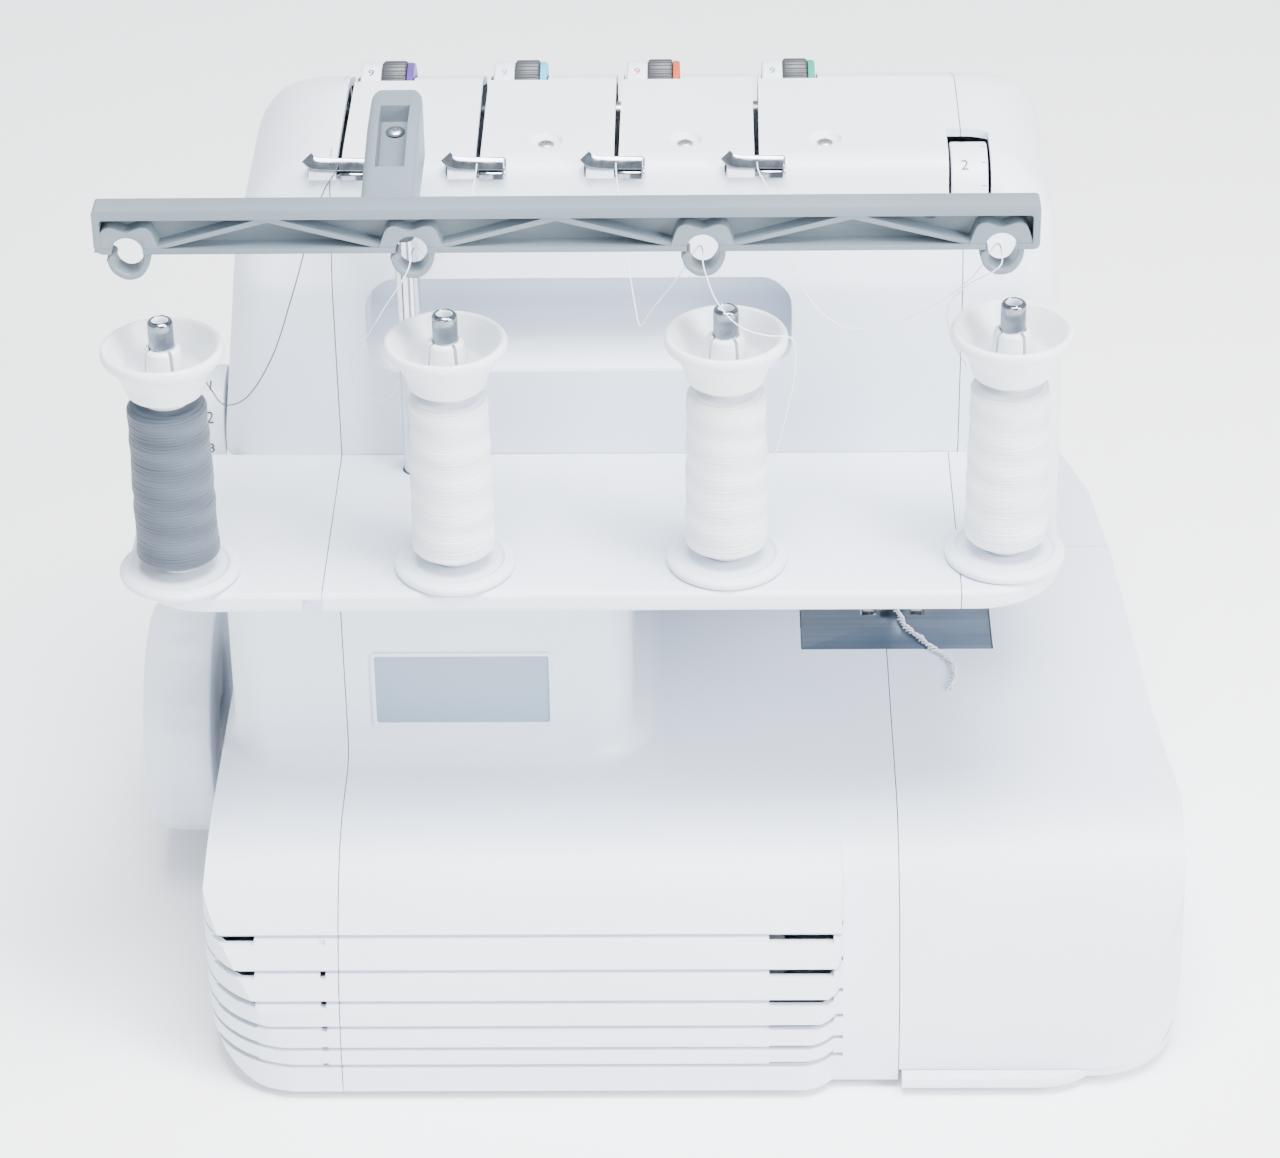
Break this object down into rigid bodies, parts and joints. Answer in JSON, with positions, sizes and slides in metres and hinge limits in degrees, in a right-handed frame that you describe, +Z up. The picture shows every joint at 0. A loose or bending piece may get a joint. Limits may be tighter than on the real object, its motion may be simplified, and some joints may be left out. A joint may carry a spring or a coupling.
{
  "type": "serger overlock machine",
  "caption": "Portable overlock machine with a lowered thread mast, cone tray, tension dials, loopers, needles, knife, handwheel and hinged looper cover.",
  "frame": {"origin": "middle of the footprint, on the surface the feet stand on", "axes": "+X to the handwheel side, +Y to the rear where the thread spools stand, +Z up"},
  "size_m": [0.3345, 0.2883, 0.297],
  "materials": {
    "casing": "cool white moulded ABS, fine satin gloss",
    "tray": "cool white moulded ABS, semi-gloss",
    "trim": "blue-grey moulded plastic, satin",
    "dark_plastic": "dark grey moulded plastic",
    "drum": "white moulded drum with printed scale",
    "cap": "white moulded plastic, slightly translucent",
    "chrome": "bright chrome plate",
    "steel": "ground steel",
    "cast": "die cast, as cast",
    "rubber": "soft black rubber",
    "white_thread": "matt spun polyester thread",
    "slate_thread": "matt spun polyester thread, slate blue-grey"
  },
  "bodies": {
    "root": {"rear_housing": "casing", "handwheel_side_cover": "casing", "face_cover": "casing", "front_panel": "casing", "needle_side_base_cover": "casing", "base_pan": "casing", "spool_tray": "tray", "foot_front_left": "rubber", "foot_front_right": "rubber", "foot_rear_left": "rubber", "foot_rear_right": "rubber", "drive_belt": "rubber", "spool_pin_1": "chrome", "spool_pin_2": "chrome", "spool_pin_3": "chrome", "spool_pin_4": "chrome", "thread_guide_1": "chrome", "thread_guide_2": "chrome", "thread_guide_3": "chrome", "thread_guide_4": "chrome", "thread_spool_1": "slate_thread", "thread_1": "slate_thread", "thread_spool_2": "white_thread", "thread_spool_3": "white_thread", "thread_spool_4": "white_thread", "thread_2": "white_thread", "thread_3": "white_thread", "thread_4": "white_thread", "spool_cap_1": "cap", "spool_cap_2": "cap", "spool_cap_3": "cap", "spool_cap_4": "cap", "mains_inlet": "dark_plastic", "tension_dial_axle": "steel", "needle_plate": "steel", "motor": "cast", "machine_frame": "cast"},
    "drive": {"handwheel": "casing", "main_shaft": "steel"},
    "motor_rotor": {"motor_pulley": "steel"},
    "length_dial": {"stitch_length_dial": "casing"},
    "pressure_dial": {"foot_pressure_dial": "drum"},
    "mast": {"mast_tube": "chrome", "mast_bracket": "trim", "thread_bar": "trim"},
    "needle_carrier": {"needle_bar": "chrome", "needle_left": "chrome", "needle_right": "chrome"},
    "presser": {"presser_foot": "chrome"},
    "lifter": {"foot_lifter": "casing"},
    "lower_looper_arm": {"lower_looper": "chrome"},
    "upper_looper_arm": {"upper_looper": "chrome"},
    "knife": {"upper_knife": "steel"},
    "feed": {"feed_dog": "steel"},
    "front_door": {"looper_cover": "casing"},
    "switch_rocker": {"power_switch": "dark_plastic"},
    "tension_1": {"tension_dial_1": "dark_plastic"},
    "tension_2": {"tension_dial_2": "dark_plastic"},
    "tension_3": {"tension_dial_3": "dark_plastic"},
    "tension_4": {"tension_dial_4": "dark_plastic"}
  },
  "joints": [
    {"name": "handwheel_turn", "type": "hinge", "parent": "root", "child": "drive", "pos_m": [0, 0, 0.05], "axis": [1, 0, 0], "continuous": true},
    {"name": "motor_turn", "type": "hinge", "parent": "root", "child": "motor_rotor", "pos_m": [0, 0.096, 0.038], "axis": [1, 0, 0], "continuous": true},
    {"name": "length_dial_turn", "type": "hinge", "parent": "root", "child": "length_dial", "pos_m": [0, 0, 0.165], "axis": [1, 0, 0], "range_deg": [0, 270]},
    {"name": "pressure_dial_turn", "type": "hinge", "parent": "root", "child": "pressure_dial", "pos_m": [0, 0.012, 0.25], "axis": [1, 0, 0], "range_deg": [0, 300]},
    {"name": "mast_raise", "type": "slide", "parent": "root", "child": "mast", "axis": [0, 0, 1], "range_m": [0, 0.12], "deforming": ["thread_2", "thread_3", "thread_4"]},
    {"name": "needle_stroke", "type": "slide", "parent": "root", "child": "needle_carrier", "axis": [0, 0, 1], "range_m": [-0.027, 0]},
    {"name": "presser_lift", "type": "slide", "parent": "root", "child": "presser", "axis": [0, 0, 1], "range_m": [0, 0.006]},
    {"name": "lifter_turn", "type": "hinge", "parent": "root", "child": "lifter", "pos_m": [0, 0.024, 0.119], "axis": [1, 0, 0], "range_deg": [0, 25]},
    {"name": "lower_looper_swing", "type": "hinge", "parent": "root", "child": "lower_looper_arm", "pos_m": [-0.088, -0.034, 0.02], "axis": [0, 1, 0], "range_deg": [-12, 12]},
    {"name": "upper_looper_swing", "type": "hinge", "parent": "root", "child": "upper_looper_arm", "pos_m": [-0.046, -0.0395, 0.016], "axis": [0, 1, 0], "range_deg": [-12, 12]},
    {"name": "knife_stroke", "type": "slide", "parent": "root", "child": "knife", "axis": [0, 0, 1], "range_m": [-0.008, 0]},
    {"name": "feed_stroke", "type": "slide", "parent": "root", "child": "feed", "axis": [0, 1, 0], "range_m": [-0.0015, 0.0015]},
    {"name": "looper_cover_open", "type": "hinge", "parent": "root", "child": "front_door", "pos_m": [0, -0.144, 0.0153], "axis": [1, 0, 0], "range_deg": [0, 70]},
    {"name": "switch_rock", "type": "hinge", "parent": "root", "child": "switch_rocker", "pos_m": [0.133, -0.086, 0.033], "axis": [0, 0, 1], "range_deg": [-6, 6]},
    {"name": "tension_dial_1_turn", "type": "hinge", "parent": "root", "child": "tension_1", "pos_m": [0, -0.046, 0.2495], "axis": [1, 0, 0], "range_deg": [0, 320]},
    {"name": "tension_dial_2_turn", "type": "hinge", "parent": "root", "child": "tension_2", "pos_m": [0, -0.046, 0.2495], "axis": [1, 0, 0], "range_deg": [0, 320]},
    {"name": "tension_dial_3_turn", "type": "hinge", "parent": "root", "child": "tension_3", "pos_m": [0, -0.046, 0.2495], "axis": [1, 0, 0], "range_deg": [0, 320]},
    {"name": "tension_dial_4_turn", "type": "hinge", "parent": "root", "child": "tension_4", "pos_m": [0, -0.046, 0.2495], "axis": [1, 0, 0], "range_deg": [0, 320]}
  ],
  "couplings": [
    {"joint": "motor_turn", "follows": "handwheel_turn", "ratio": 3.875},
    {"joint": "lifter_turn", "follows": "presser_lift", "rad_per_m": 72.72}
  ]
}
